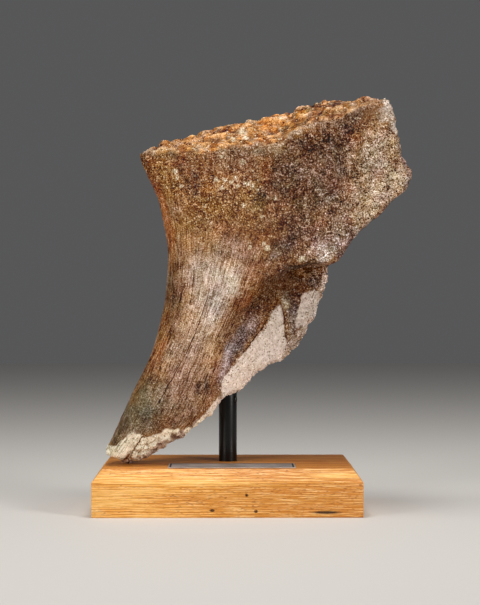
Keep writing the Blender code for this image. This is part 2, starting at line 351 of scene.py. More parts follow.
# %% Lines of the cracks and grooves, as x and z
CRACKS = [  # each with its strength, which is twice its depth in millimetres
    ([(-17.5, 219), (-21, 205), (-26, 191), (-31, 176), (-38, 161), (-44, 149), (-53, 132),
      (-60, 121), (-66, 108)], 1.1),
    ([(-26, 191), (-31, 176), (-38, 161), (-44, 149), (-53, 132), (-58, 124)], 1.7),
    ([(-32.5, 240), (-34, 222), (-36.5, 204)], 0.7), ([(-23.5, 238), (-24.5, 224)], 0.5),
    ([(-14, 246), (-20, 226), (-24, 212)], 0.3), ([(-4, 209), (-7.5, 197), (-9.5, 187)], 0.4),
    ([(-30, 200), (-36, 180), (-42, 166)], 0.35), ([(-44, 222), (-46, 200), (-50, 184)], 0.35),
    ([(-26, 160), (-36, 138), (-46, 114)], 0.4),
    ([(38.5, 187), (33, 177), (27, 170), (22, 163), (15, 155)], 1.0),
    ([(54.5, 198), (57, 186), (57.5, 176), (60, 168)], 0.9),
    ([(89, 219), (87, 214), (84.5, 209)], 1.6),
    ([(-83, 74), (-88, 66), (-92, 59), (-95, 52), (-98, 46)], 2.0),
    ([(-97, 74), (-104, 64)], 0.6), ([(-70, 72), (-80, 63), (-88, 54)], 0.8),
    ([(-17, 134), (-19, 120), (-22, 108)], 0.6),
]
GROOVES = [  # each with its depth and its half width in millimetres
    ([(-55, 352), (-50, 342), (-45, 332), (-39, 322), (-31, 312)], 1.4, 3.4),
    ([(-40, 344), (-34, 332), (-27, 320)], 0.9, 2.6),
    ([(-22, 349), (-18, 338), (-12, 326)], 0.8, 2.6),
]
CRACK_HALF = 1.4

# %% Fibres and cracks of the shaft
FIBRE_RISE = 0.3
fibre_places = grain / np.array([1.0, 12.0, 2.5])
fibres = noise_field(fibre_places, 3.2, 6) + 0.6 * noise_field(fibre_places, 1.7, 7)
crack = np.zeros(count)
crack_side = np.full(count, 9.0)
for line, strength in CRACKS:
    side = line_side(line, x + 0.5 * wobble_x, z + 0.5 * wobble_z)
    crack = np.maximum(crack, strength * np.exp(-(side / CRACK_HALF) ** 2) * facing_front)
    crack_side = np.where(np.abs(side) < np.abs(crack_side), side, crack_side)
groove = np.zeros(count)
for line, depth, half in GROOVES:
    away = line_side(line, x + 1.2 * wobble_x, z + 1.2 * wobble_z)
    groove = np.maximum(groove, depth * np.exp(-(away / half) ** 2) * facing_front)
sound = (1.0 - broken) * (1.0 - crest)
shaft_height = FIBRE_RISE * shaft * sound * fibres - (1.0 - crest) * (0.5 * crack + groove)
print("cracks and grooves down to", round(-shaft_height.min(), 1), "mm deep")

# %% [markdown]
# ## The wing, its ledge and the broken faces
# The wing is a weathered plate with low waves and a gritty skin, and a ledge overhangs the
# hollow at its foot. Where the bone is broken, chips of two sizes stand at random heights,
# and the flat breaks are a small step above or below the skin. Cells with a random number
# each make the chips, because a break has facets where weathered bone has rounded bumps.

# %% Waves and grit of the wing, and the ledge above the hollow
LEDGE_DEPTH, SPONGE_DEPTH = 2.2, 1.2

waves = 1.1 * noise_field(points, 24.0, 8, octaves=3) + 0.75 * rough
grit_gap, grit_lot, _ = cell_field(points, 3.4, 3)
grit = (0.5 + 0.9 * grit_lot) * ease(grit_gap, 0.05, 0.45) - 0.6
ledge_x, ledge_z = zip(*LEDGE)
below = np.interp(x, ledge_x, ledge_z) - z + 0.6 * wobble_z
undercut = ease(below, -0.5, 1.6) * fade(below, 3, 26) * ease(x, 30, 62) * facing_front
wing_height = waves * (1.0 - 0.5 * shaft) + (0.55 + 0.3 * sponge) * (1.0 - shaft) * grit
wing_height *= sound * (1.0 - 0.7 * hollow)
wing_height -= LEDGE_DEPTH * undercut + SPONGE_DEPTH * sponge
print("wing from", round(wing_height.min(), 1), "to", round(wing_height.max(), 1), "mm")

# %% Broken faces
STEPS = [  # the break, the rise of its step and half the step's width
    ("edge strip", -0.8, 0.6), ("upper break", -1.0, 0.5), ("tip flake", 0.9, 0.5),
    ("tip end", -0.8, 0.5),
]

_, chip_lot, _ = cell_field(bent, 6.5, 4)
crumble = 1.5 * noise_field(points, 6.0, 9, octaves=4) + 2.6 * (chip_lot - 0.5)
big_gap, big_lot, _ = cell_field(bent, 15.0, 5)
crumble += 2.4 * (big_lot - 0.5) * ease(big_gap, 0.0, 0.25)
smooth_face = ease(np.maximum(flat_breaks["lower break"], flat_breaks["tip flake"]), 0, 3)
crumble *= held_back((0.8, smooth_face * ease(to_front, 0.35, 0.7)), (0.7, wing_under))
step = 1.4 * ease(flat_breaks["lower break"], -0.6, 0.6) * ease(64.0 - x, 0, 8)
for name, rise, half in STEPS:
    step += rise * ease(flat_breaks[name], -half, half)
break_height = broken * crumble + facing_front * step
print("breaks from", round(break_height.min(), 1), "to", round(break_height.max(), 1), "mm")

# %% Single lumps, and dents where the height is negative
LUMPS = [  # x, z, size and height
    (173, 311, 7, 3.0), (164, 408, 8, -3.5), (110, 246, 8, -3.5), (80, 182, 12, -1.5),
    (67, 161, 10, -3.5), (-52, 334, 3.0, 0.9), (-48, 326, 3.0, 1.0), (73, 248, 3.5, 1.2),
    (39, 259, 3.0, 0.9), (-60, 362, 9, 1.2), (-22, 372, 9, 1.4), (20, 382, 8, 1.2),
]
lumps = np.zeros(count)
for lump_x, lump_z, size, rise in LUMPS:
    lumps += rise * np.exp(-(np.hypot(x - lump_x, z - lump_z) / size) ** 2)
lumps *= ease(np.maximum(to_front, upward + to_right), 0.1, 0.4)

# %% Add the heights and move the points
height = crest_height + shaft_height + wing_height + break_height + lumps
points += normals * height[:, None]
bone_mesh.vertices.foreach_set("co", (points * MM).astype(np.float32).ravel())
bone_mesh.update()
print("relief from", round(height.min(), 1), "to", round(height.max(), 1), "mm")

# %% [markdown]
# ## Stains of the bone, and painted shadow
# A mineralised bone is never one colour. Its stains are laid here as a painter would lay
# them, one after the other over a warm brown ground. Each is a soft oval of a named colour,
# with a place, a size and a lean, and noise shifts its border so that no oval shows. A few
# dark ovals in the hollow and under the ledge are painted shadow. The result is stored on
# the mesh as a colour attribute, and so it bends with the form.


# %% Bone colours
def from_display(r, g, b):
    """A colour as a paint chart gives it, 0 to 255, as the linear colour a shader needs."""
    return np.array([((c / 255 + 0.055) / 1.055) ** 2.4 for c in (r, g, b)])


PAINT_CHART = {
    "ground": (147, 101, 54), "umber": (106, 70, 43), "bark": (66, 35, 13),
    "ochre": (172, 115, 54), "rust": (158, 92, 45), "amber": (208, 155, 98),
    "olive": (151, 110, 56), "sand": (174, 144, 118), "ash": (197, 177, 160),
    "straw": (188, 158, 124), "cream": (220, 204, 177), "chalk": (211, 193, 181),
    "rose": (160, 130, 116), "dusk": (127, 101, 86), "plum": (114, 81, 66),
    "mauve": (90, 72, 70), "moss": (106, 93, 71), "shell": (204, 201, 185),
    "lilac": (188, 165, 161),
}
COLOURS = {name: from_display(*chart) for name, chart in PAINT_CHART.items()}

# %% The stains and painted shadows: colour, x, z, half width, half height, lean in degrees, strength
STAINS_AND_SHADOWS = [
    # the left border, and the middle of the wing below the crest
    ("olive", -66, 326, 17, 32, 16, 0.8), ("ochre", -62, 270, 12, 50, 4, 0.45),
    ("rust", -66, 296, 5, 34, 8, 0.6), ("umber", -52, 204, 12, 48, 6, 0.9),
    ("umber", -32, 334, 11, 8, -35, 0.8), ("ochre", -8, 332, 26, 16, 0, 0.7),
    ("sand", 8, 346, 26, 12, -4, 0.7), ("sand", 10, 325, 15, 9, 0, 0.25),
    ("sand", 46, 356, 16, 7, 8, 1.0), ("sand", 28, 353, 34, 6, 4, 0.6),
    ("olive", -22, 292, 30, 22, 0, 0.55), ("umber", -4, 310, 10, 7, 0, 0.45),
    ("umber", -17, 332, 9, 9, 0, 0.55), ("umber", -47, 311, 7, 7, 0, 0.25),
    ("sand", -47, 296, 8, 8, 0, 0.5), ("rust", -46, 342, 10, 8, 0, 0.75),
    ("ochre", -76, 341, 7, 9, 16, 0.5), ("sand", -22, 281, 20, 10, 0, 0.2),
    ("umber", 3, 267, 13, 8, 0, 0.55), ("sand", 12, 282, 9, 7, 0, 0.4),
    ("sand", 24, 240, 12, 9, 0, 0.5), ("umber", 50, 262, 13, 9, 0, 0.5),
    # the pale middle of the shaft and its borders
    ("dusk", 8, 258, 21, 13, 0, 0.75), ("sand", -15, 230, 30, 20, 0, 0.75),
    ("sand", 4, 230, 17, 24, -14, 0.8), ("sand", -20, 204, 21, 38, -8, 0.85),
    ("ash", -20, 212, 12, 34, -12, 0.8), ("ash", -30, 232, 10, 26, 0, 0.7),
    ("umber", -49, 146, 8, 16, -24, 0.35), ("ash", -23, 207, 12, 14, -12, 0.6),
    ("ash", -32, 170, 9, 22, -20, 0.6), ("ash", -3, 214, 7, 14, -14, 0.35),
    ("ash", 0, 219, 11, 18, -14, 0.85), ("chalk", -15, 202, 9, 22, -14, 1.0),
    ("cream", -8, 230, 7, 10, 0, 0.2), ("ash", -47, 258, 7, 16, 0, 0.2),
    ("sand", -37, 163, 17, 42, -24, 0.8), ("chalk", -13, 193, 6, 9, -24, 1.0),
    # the lower shaft, down to its mossy end
    ("rose", -42, 140, 18, 30, -28, 0.55), ("rose", -28, 138, 14, 22, -28, 0.45),
    ("sand", -46, 112, 9, 14, -28, 0.4), ("rose", -46, 89, 9, 7, -28, 0.5),
    ("rust", -66, 158, 5, 14, -20, 0.8), ("umber", -72, 134, 5, 20, -26, 0.35),
    ("moss", -87, 97, 29, 35, -28, 0.95), ("dusk", -48, 96, 17, 14, -30, 0.5),
    ("moss", -76, 100, 12, 18, -28, 0.95), ("mauve", -77, 94, 8, 16, -28, 0.25),
    ("moss", -108, 78, 11, 16, -28, 0.6), ("umber", -62, 88, 10, 9, -28, 0.4),
    ("dusk", -31, 117, 8, 12, -30, 0.5), ("ochre", -15, 158, 7, 18, -12, 0.4),
    ("straw", -18, 152, 9, 20, -12, 0.5), ("rust", -12, 140, 5, 12, 0, 0.15),
    ("bark", -28, 123, 2.6, 6, -10, 1.0), ("bark", -21, 126, 2.2, 6, 0, 1.0),
    ("rust", -15, 121, 3, 9, 0, 0.35), ("dusk", -17, 114, 8, 12, -20, 0.45),
    ("dusk", -17, 133, 6, 9, -20, 0.4), ("dusk", -32, 103, 10, 8, -30, 0.35),
    # between the shaft and the lower break
    ("ochre", 28, 244, 10, 12, -30, 0.4), ("rust", 20, 206, 9, 12, -30, 0.9),
    ("umber", 40, 230, 8, 12, -30, 0.8), ("umber", 4, 184, 8, 20, -20, 0.8),
    ("bark", 24, 196, 9, 11, -30, 0.8), ("bark", 40, 192, 5, 7, -30, 0.4),
    ("bark", 27, 179, 6, 15, -38, 0.85), ("mauve", 15, 176, 7, 20, -30, 0.85),
    ("mauve", 7, 160, 7, 20, -30, 1.0), ("mauve", 0, 146, 5, 18, -22, 0.9),
    ("lilac", -3, 140, 4, 16, -14, 0.95), ("lilac", 0, 152, 4, 16, -24, 0.6),
    ("lilac", 27, 184, 6, 8, -30, 0.6), ("umber", 0, 190, 6, 10, -20, 0.35),
    ("umber", 12, 207, 7, 9, -30, 0.35), ("mauve", 12, 163, 6, 10, -30, 0.5),
    # the hollow, and the edge below it; its bark is part stain, part painted shadow under the ledge
    ("bark", 50, 219, 28, 17, 18, 0.8), ("bark", 74, 230, 30, 10, 4, 1.0),
    ("bark", 34, 206, 16, 10, 30, 0.8), ("bark", 92, 230, 12, 14, 0, 0.8),
    ("bark", 64, 196, 8, 24, 4, 0.85), ("plum", 66, 188, 6, 18, 4, 0.7),
    ("mauve", 67, 192, 6, 16, 4, 0.85), ("cream", 59.5, 205, 3.5, 7, 0, 0.8),
    ("ash", 63, 177, 4, 14, 6, 0.45), ("bark", 64, 214, 12, 9, 0, 0.7),
    # the right half of the wing, from the crest down to the ledge
    ("rust", 41, 320, 7, 22, 8, 0.7), ("bark", 47, 335, 8, 15, -16, 0.8),
    ("bark", 54, 316, 6, 10, 14, 0.6), ("bark", 42, 310, 11, 10, 0, 0.85),
    ("moss", 28, 352, 9, 4, 0, 0.6), ("plum", 60, 338, 11, 10, 0, 0.6),
    ("bark", 84, 362, 16, 9, 38, 0.85), ("bark", 101, 358, 10, 10, 0, 0.8),
    ("bark", 116, 384, 10, 8, 0, 0.85), ("sand", 117, 354, 8, 8, 0, 0.6),
    ("dusk", 96, 322, 32, 32, 0, 0.85), ("umber", 52, 312, 9, 16, 0, 0.4),
    ("rose", 104, 334, 22, 14, 10, 0.4), ("sand", 82, 341, 14, 8, 0, 0.6),
    ("olive", 36, 302, 15, 10, 0, 0.4), ("umber", 67, 285, 20, 17, 0, 0.85),
    ("bark", 73, 281, 10, 8, 0, 0.35), ("umber", 41, 283, 9, 9, 0, 0.5),
    ("umber", 42, 276, 20, 10, 10, 0.3), ("umber", 63, 266, 12, 20, 0, 0.9),
    ("rose", 101, 270, 20, 17, 30, 0.85), ("ash", 107, 257, 16, 9, 24, 0.9),
    ("mauve", 60, 262, 10, 8, 12, 0.5), ("sand", 74, 250, 8, 6, 0, 0.4),
    ("umber", 42, 252, 20, 8, 20, 0.6), ("mauve", 43, 251, 9, 7, 20, 0.6),
    ("umber", 96, 370, 16, 8, 30, 0.6),
    # the wing's right end, and last touches at the ledge and the hollow, with painted shadow at the
    # ledge
    ("plum", 128, 394, 22, 8, 12, 0.8), ("umber", 130, 385, 15, 8, 8, 0.7),
    ("bark", 114, 381, 14, 8, 14, 0.6), ("umber", 114, 376, 10, 14, -10, 0.75),
    ("dusk", 161, 370, 10, 10, 0, 0.8), ("umber", 161, 342, 9, 8, 0, 0.65),
    ("cream", 138, 300, 11, 9, 30, 0.35), ("cream", 162, 326, 9, 8, 0, 0.5),
    ("straw", 138, 326, 14, 9, 0, 0.65), ("dusk", 116, 281, 9, 8, 0, 0.4),
    ("bark", 57, 238, 10, 8, 0, 0.5), ("umber", 57, 222, 9, 8, 0, 0.4),
    ("mauve", 86, 220, 9, 8, 0, 0.6), ("ash", 103, 252, 11, 7, 0, 0.75),
    ("rose", 74, 251, 9, 7, 0, 0.45), ("umber", 161, 370, 9, 7, 0, 0.85),
]
SPECKS = [  # pale crusts: x, z, size
    (15, 343, 2.9), (-6, 348, 2.2), (-11, 326, 2.8), (-3, 325, 2.4), (4, 323, 2.9), (10, 320, 2.6),
    (19, 322, 2.8), (25, 319, 2.5), (30, 316, 2.3), (-5, 318, 2.2), (8, 328, 2.2), (-52, 334, 2.7),
    (-46, 319, 2.5), (14, 375, 4.4), (6, 366, 3.2), (18, 368, 3.0), (73, 248, 4.0), (39, 259, 3.0),
    (36, 263, 2.4), (22, 259, 2.2), (-50, 327, 2.6), (47, 308, 2.2), (34, 290, 2.2), (60, 320, 2.0),
    (16, 300, 2.0), (-22, 300, 2.0),
]


# %% Melt the stains together
def mixed(first, second, share):
    """The first colours, moved towards the second by a share at each point."""
    return first + (second - first) * share[:, None]


DRIFT = 8.0  # how far noise moves a stain's border
BACK_X, BACK_Z = 24.0, -12.0  # stains lie elsewhere on the back, so it is no mirror of the front

drift_x = DRIFT * noise_field(points, 16.0, 10, octaves=4)
drift_z = DRIFT * noise_field(points, 16.0, 11, octaves=4)
behind = 1.0 - facing_front
patchy = 0.5 + 0.5 * noise_field(points, 7.0, 14, octaves=3)
stain = np.tile(COLOURS["ground"], (count, 1))
stain = mixed(stain, mixed(COLOURS["sand"], COLOURS["straw"], patchy), 0.9 * sponge)
for name, mid_x, mid_z, half_x, half_z, lean, strength in STAINS_AND_SHADOWS:
    loose = min(1.0, half_x / 14.0)
    cover = leaning_spot(x + loose * drift_x + BACK_X * behind,
                         z + loose * drift_z + BACK_Z * behind,
                         mid_x, mid_z, half_x, half_z, lean, strength)
    stain = mixed(stain, COLOURS[name], cover * (0.65 + 0.35 * facing_front))
# The left-facing border gets a brighter rust: its own rust, with a painted highlight over it.
left_rim_highlight = ease(-to_right, 0.5, 0.85) * ease(z, 248, 268) * fade(z, 320, 338)
stain = mixed(stain, COLOURS["rust"] * 1.2, 0.7 * left_rim_highlight)
print("stains laid:", len(STAINS_AND_SHADOWS))

# %% Cover of the pale crusts
specks = np.zeros(count)
for mid_x, mid_z, size in SPECKS:
    away = np.hypot(x - mid_x, z - mid_z) + 0.28 * size * (wobble_x - 0.6 * wobble_z)
    specks = np.maximum(specks, ease(-away, -size, -0.5 * size))
specks *= np.maximum(facing_front, crest)

# %% Colours of the crest and its lip
crest_mix = ease(noise_field(points, 9.0, 12, octaves=4), -0.35, 0.45)
crest_colour = mixed(COLOURS["amber"], COLOURS["ochre"], crest_mix)
pink = ease(noise_field(points, 7.0, 15, octaves=4), 0.1, 0.6)
pink = np.maximum(pink, fade(x, -84, -60))
crest_colour = mixed(crest_colour, COLOURS["ash"], 0.6 * pink)
crest_colour = mixed(crest_colour, COLOURS["rose"], 0.6 * ease(x, 118, 150))
crest_colour *= (1.0 - 0.28 * ease(x, 58, 102) - 0.2 * fade(x, -46, -16))[:, None]
# Painted shade: umber is laid in the gaps between the knobs.
knob_gap_shade = np.maximum(fade(knob_gap, 0.0, 0.16), 0.8 - ease(small_gap, 0.0, 0.14))
gap_shade_share = (0.6 - 0.25 * ease(x, 60, 100)) * np.clip(knob_gap_shade, 0, 1)
crest_colour = mixed(crest_colour, COLOURS["umber"], gap_shade_share)
stain = mixed(stain, crest_colour, 0.95 * crest)
lip_share = (0.15 + 0.75 * ease(x, -15, 12) - 0.72 * ease(x, 96, 114)) * lip
lip_share *= ease(noise_field(points, 6.0, 16), -0.6, 0.0)
stain = mixed(stain, COLOURS["sand"] * 1.05, lip_share)

# %% Colours of the broken edges, chip by chip
pale_rim = COLOURS["ash"] * (0.75 + 0.3 * chip_lot[:, None])
pale_share = 0.8 * ease(z, 95, 120) * ease(x, 20, 40) * fade(z, 198, 214)
rim_colour = mixed(COLOURS["plum"], COLOURS["ash"] * 1.1, chip_lot ** 0.7)
rim_colour = mixed(rim_colour, pale_rim, pale_share)
chip_tone = (0.75 + 0.5 * chip_lot)[:, None]
stain = mixed(stain, rim_colour, 0.85 * broken * fade(z, 225, 250))
stain = mixed(stain, COLOURS["dusk"] * chip_tone, 0.85 * right_edge * ease(z, 225, 250))
# Painted shade: a darker copy of the plum on the back of the wing's underside.
stain = mixed(stain, COLOURS["plum"] * 0.6, 0.9 * wing_back)

# %% Colours of the fresh, flat breaks and of the open bone under the tip
TIP_RIM_X, TIP_RIM_Z = [-110, -90, -60, -50], [40, 52, 69, 76]

fresh = np.maximum(front_break, crest_end)
break_mix = 0.5 + 0.5 * noise_field(points, 12.0, 13, octaves=3)
chalky = np.clip(0.35 * break_mix + 0.8 * ease(z, 85, 105), 0, 1)
break_colour = mixed(COLOURS["cream"], COLOURS["chalk"], chalky)
break_colour = mixed(break_colour, COLOURS["shell"], 0.95 * fade(z, 62, 84))
break_colour = mixed(break_colour, COLOURS["cream"] * 0.78, 0.7 * fade(x, -113, -103))
# Painted light: the breaks are lighter low down and near the tip, and a little darker at the top.
painted_light = 1.0 + 0.24 * fade(z, 125, 165) + 0.18 * fade(z, 60, 80)
break_colour *= (painted_light * (1.0 - 0.15 * ease(z, 165, 188)))[:, None]
break_colour = mixed(break_colour, COLOURS["ash"] * 0.85, 0.7 * crest_end)
stain = mixed(stain, break_colour * (0.9 + 0.1 * chip_tone), 0.97 * fresh)
open_bone = fresh * ease(np.interp(x, TIP_RIM_X, TIP_RIM_Z) - z, 0, 3) * fade(x, -50, -44)
stain = mixed(stain, COLOURS["mauve"] * 1.2, 0.35 * open_bone)
# Painted shade: the colour is darker in the grooves.
stain *= (1.0 - 0.22 * groove)[:, None]

# %% [markdown]
# ## Uneven tone and hue
# Old bone is uneven even inside one stain. Noise of several sizes makes each place a little
# lighter or darker, warmer or greener. It is added in display values, in which the eye finds
# equal steps equal, so dark and pale places vary alike. Some places are calmer than the rest:
# the fresh breaks, the hollow, the worn lip at the right and the lower shaft.

# %% Places that are calmer or smoother than the rest
mossy = leaning_spot(x, z, -86, 97, 28, 34, -28)
low_shaft = leaning_spot(x, z, -38, 157, 26, 36, -24)
mid_body = leaning_spot(x, z, -12, 262, 34, 48)
strip_between = leaning_spot(x, z, 64, 192, 9, 24, 4)
smooth_lip = leaning_spot(x, z, 145, 389, 18, 7, 14)
calm = np.maximum.reduce([leaning_spot(x, z, 132, 390, 28, 10, 12),
                          leaning_spot(x, z, -32, 338, 34, 16, 0, 0.35),
                          0.4 * mossy,
                          0.5 * lip * ease(x, 15, 45)])

# %% Tone, warmth and greenness
DISPLAY = 2.2
WARMER = np.array([0.5, 0.0, -0.5])
GREENER = np.array([-0.33, 0.67, -0.33])

uneven = held_back((0.7, fresh), (0.8, calm), (0.8, hollow), (0.7, strip_between),
                   (0.5, low_shaft))
uneven *= 1.0 + 0.35 * ease(x, 40, 80)
tone = 0.06 * noise_field(points, 24.0, 31) + 0.10 * noise_field(points, 11.0, 32)
small_patches = 0.07 * noise_field(points, 6.0, 37)
tone += (1.0 - 0.8 * np.maximum(shaft, mid_body)) * small_patches - 0.006
tone += crest * (0.10 * (small_lot - 0.5) + 0.10 * (knob_lot - 0.5))
tone -= crest * 0.07 * noise_field(points, 15.0, 39)
# Painted highlight and shade: the crest is lighter on the middles of the knobs and darker off them.
tone += crest * (0.17 * small_dome + 0.23 * knob_dome - 0.31)
warmth = 0.05 * noise_field(points, 26.0, 33) + 0.045 * noise_field(points, 12.0, 34)
warmth += crest * 0.13 * (np.modf(small_lot * 7.3)[0] - 0.5)
greenness = 0.016 * noise_field(points, 20.0, 35) + 0.016 * noise_field(points, 8.0, 36)
seen = stain ** (1 / DISPLAY) + (uneven * tone)[:, None]
seen += (uneven * warmth)[:, None] * WARMER + (uneven * greenness)[:, None] * GREENER
stain = mixed(np.clip(seen, 0.06, 0.95) ** DISPLAY, COLOURS["cream"], 0.8 * specks)

# %% [markdown]
# ## What the mesh tells the finish
# A shader can't know where the crest or a break is, so the mesh carries that as attributes,
# one number for each point: a mask for each zone, and how strong each kind of fine detail is
# there. The finish reads them by name, and they stay in place however the bone is turned.

# %% How strong each fine detail is
flake = ease(flat_breaks["tip flake"], -0.5, 0.5) * front_break
fan = (0.3 + 0.25 * ease(-x, 20, 50)) * fade(x, 25, 60) * ease(z, 268, 290)
streaky = np.maximum(shaft * (1.0 - 0.6 * mossy), fan) * (1.0 - 0.22 * mid_body) * sound
grainy = held_back((0.8, shaft), (0.9, fresh), (0.6, sponge), (0.8, hollow), (0.4, broken),
                   (0.6, crest), (0.7, calm))
mottled = held_back((0.5, flake), (0.8, shaft * (1.0 - 0.5 * mossy)), (0.3, fan), (0.4, specks),
                    (0.35, mid_body), (0.58, front_break), (0.1, crest_end), (0.5, crest),
                    (0.65, calm), (0.42, hollow), (0.6, hollow * ease(x, 50, 70)),
                    (0.3, strip_between), (0.6, smooth_lip))
mottled *= 1.0 + 0.3 * noise_field(points, 13.0, 38, octaves=2)
mottled *= 0.84 + 0.31 * ease(x, 45, 110)
speckled = held_back((0.6, smooth_lip), (0.68, front_break), (0.4, crest), (0.3, calm),
                     (0.2, shaft), (0.45, hollow * ease(x, 40, 60)), (0.5, flake))
speckled *= 1.0 + 0.3 * ease(x, 45, 110)
crusty = 0.25 * (1.0 - shaft) * (1.0 - sponge) + leaning_spot(x, z, 8, 323, 34, 9, -14, 0.9)
crusty = np.clip(crusty, 0, 1) * sound * facing_front * (1.0 - hollow)
near_rim = ease(-np.abs(flat_breaks["lower break"]), -7, -3) * fade(z, 165, 185)
near_tip = 0.8 * fade(z, 80, 100) * (1.0 - flake)
near_side = 0.8 * ease(x, 80, 87) * fade(z, 225, 250)
print("mottled on average", round(mottled.mean(), 2), "speckled", round(speckled.mean(), 2))


# %% Store the attributes
def store(name, kind, key, values):
    """Keeps one value for each point of the bone on its mesh."""
    layer = bone_mesh.attributes.new(name, kind, "POINT")
    layer.data.foreach_set(key, np.asarray(values, np.float32).ravel())


store("stain", "FLOAT_COLOR", "color", np.column_stack([stain, np.ones(count)]))
store("grain", "FLOAT_VECTOR", "vector", grain * MM)
for name, values in {
    "shaft": streaky + 0.8 * flake,
    "crack": crack,
    "crack_side": crack_side,
    "crest": crest,
    "broken": broken,
    "fresh": fresh,
    "grainy": grainy,
    "mottled": np.clip(mottled, 0.15, 1.5),
    "speckled": speckled,
    "sponge": sponge * (1.0 - crest) * (1.0 - fresh),
    "crusty": crusty,
    "hollow": np.maximum(hollow * facing_front, undercut),
    "pitted": fresh * np.maximum.reduce([near_rim, near_tip, near_side]),
}.items():
    store(name, "FLOAT", "value", values)
bone_mesh.shade_smooth()
print("attributes on the bone:", len(bone_mesh.attributes))

# %% [markdown]
# ## Shader helpers
# A finish is a chain of small steps: a texture gives a number, a range sharpens it into a
# mask, and a mix lays one colour over another. These helpers write each step as one line.


# %% Node helpers
def new_finish(name):
    """A new material, with its node tree and its shader."""
    finish = bpy.data.materials.new(name)
    finish.use_nodes = True
    tree = finish.node_tree
    return finish, tree, tree.nodes["Principled BSDF"]


def feed(tree, node, inputs):
    """Gives a node its inputs, by name or by number, from values or other nodes' outputs."""
    for key, value in inputs.items():
        if isinstance(value, bpy.types.NodeSocket):
            tree.links.new(value, node.inputs[key])
        else:
            node.inputs[key].default_value = value


def add(tree, kind, inputs=None, **options):
    """Adds a node with its options and inputs."""
    node = tree.nodes.new("ShaderNode" + kind)
    for key, value in options.items():
        setattr(node, key, value)
    feed(tree, node, inputs or {})
    return node


def ranged(tree, value, low, high, to_low=0.0, to_high=1.0):
    """Maps the span low to high onto the span to_low to to_high, and clamps."""
    return add(tree, "MapRange", {0: value, 1: low, 2: high, 3: to_low, 4: to_high}).outputs[0]


def maths(tree, operation, a, b=0.0):
    return add(tree, "Math", {0: a, 1: b}, operation=operation).outputs[0]


def vectors(tree, operation, inputs):
    return add(tree, "VectorMath", inputs, operation=operation).outputs[0]


def over(tree, below, above, mask, blend="MIX"):
    """Lays one colour over another through a mask."""
    return add(tree, "Mix", {0: mask, 6: below, 7: above}, data_type="RGBA",
               blend_type=blend).outputs[2]


def paint(r, g, b):
    """A paint-chart colour as the four numbers that a shader takes."""
    return (*from_display(r, g, b), 1.0)


# %% Textures and bumps, in millimetres
def bump(tree, height, strength, distance, under=None):
    """A bump of the given depth, on top of another one if that is given."""
    inputs = {"Height": height, "Strength": strength, "Distance": distance * MM}
    if under is not None:
        inputs["Normal"] = under
    return add(tree, "Bump", inputs).outputs[0]


def object_place(tree):
    """Where a point lies in its object, which stays with it when the piece is moved."""
    return add(tree, "TexCoord").outputs["Object"]


def stretched(tree, place, *scale):
    """A place that is squeezed along its axes, which draws a texture out along them."""
    return add(tree, "Mapping", {"Vector": place, "Scale": scale}).outputs[0]


def clouds(tree, place, size, detail=3.0, roughness=0.55):
    """Noise whose blots are about the given size."""
    inputs = {"Vector": place, "Scale": 1.0 / (size * MM), "Detail": detail,
              "Roughness": roughness}
    return add(tree, "TexNoise", inputs).outputs[0]


def cells(tree, place, size):
    """Rounded cells of about the given size."""
    return add(tree, "TexVoronoi", {"Vector": place, "Scale": 1.0 / (size * MM)}).outputs


# %% [markdown]
# ## The bone's finish
# Seen close, the bone's skin is a fine mix of light and dark: streaks along the shaft, grains
# and flecks on the wing, pores in the spongy bone and the breaks. Each kind is made as a
# change of tone about nought, held to its own zone by an attribute. They are added up in
# display values over the stains, because mixing one colour over another again and again
# would wash the stains out. Roughness and bump share the same textures, so a pore is dark,
# dull and deep at once.

# %% Masks and textures of the bone
bone_finish, tree, shader = new_finish("mineralised_bone")
place = object_place(tree)


def read(name, output="Fac"):
    """One of the mesh's attributes, for the finish that is being made."""
    return add(tree, "Attribute", attribute_name=name).outputs[output]


def times(*values):
    """The product of two or more numbers."""
    result = values[0]
    for value in values[1:]:
        result = maths(tree, "MULTIPLY", result, value)
    return result


def around(value, strength):
    """A texture value that varies about a half, as a change of tone about nought."""
    return times(maths(tree, "SUBTRACT", value, 0.5), strength)


def hairlines(place, size, width):
    """Thin lines where a cloud texture crosses its middle value."""
    cloud = clouds(tree, place, size, 2.0)
    away = maths(tree, "ABSOLUTE", maths(tree, "SUBTRACT", cloud, 0.5))
    return ranged(tree, away, width, 0.25 * width)


on_shaft, on_crest, on_sponge = read("shaft"), read("crest"), read("sponge")
on_break, on_fresh, in_dip = read("broken"), read("fresh"), read("hollow")
grainy, crusty, pitted, mottled = read("grainy"), read("crusty"), read("pitted"), read("mottled")
coarse = clouds(tree, place, 6.0, 3.0)
mottle = clouds(tree, place, 5.0, 2.0, 0.88)
fine = clouds(tree, place, 1.1, 0.0)

# %% Streaks and hairline cracks of the shaft
along = stretched(tree, read("grain", "Vector"), 1.0, 0.06, 0.35)
streaks = clouds(tree, along, 1.1, 1.0, 0.6)
wide_streaks = clouds(tree, along, 4.5, 2.0)
hair = maths(tree, "MAXIMUM", hairlines(along, 5.0, 0.035), hairlines(along, 2.6, 0.05))
hair = times(hair, ranged(tree, coarse, 0.42, 0.56), on_shaft)
streak_tone = maths(tree, "ADD", around(streaks, 0.58), around(wide_streaks, 0.05))
crack_line = ranged(tree, maths(tree, "ABSOLUTE", read("crack_side")), 0.7, 0.25)
crack_line = times(crack_line, ranged(tree, read("crack"), 0.08, 0.9))
tones = [times(streak_tone, on_shaft), times(hair, -0.22), times(crack_line, -0.36)]

# %% Mottling and speckle
# The cube of the mottle is mostly dark with a few bright flecks. The spongy bone keeps the
# plain mottle, with as much light as dark.
MEAN_CUBE = 0.145

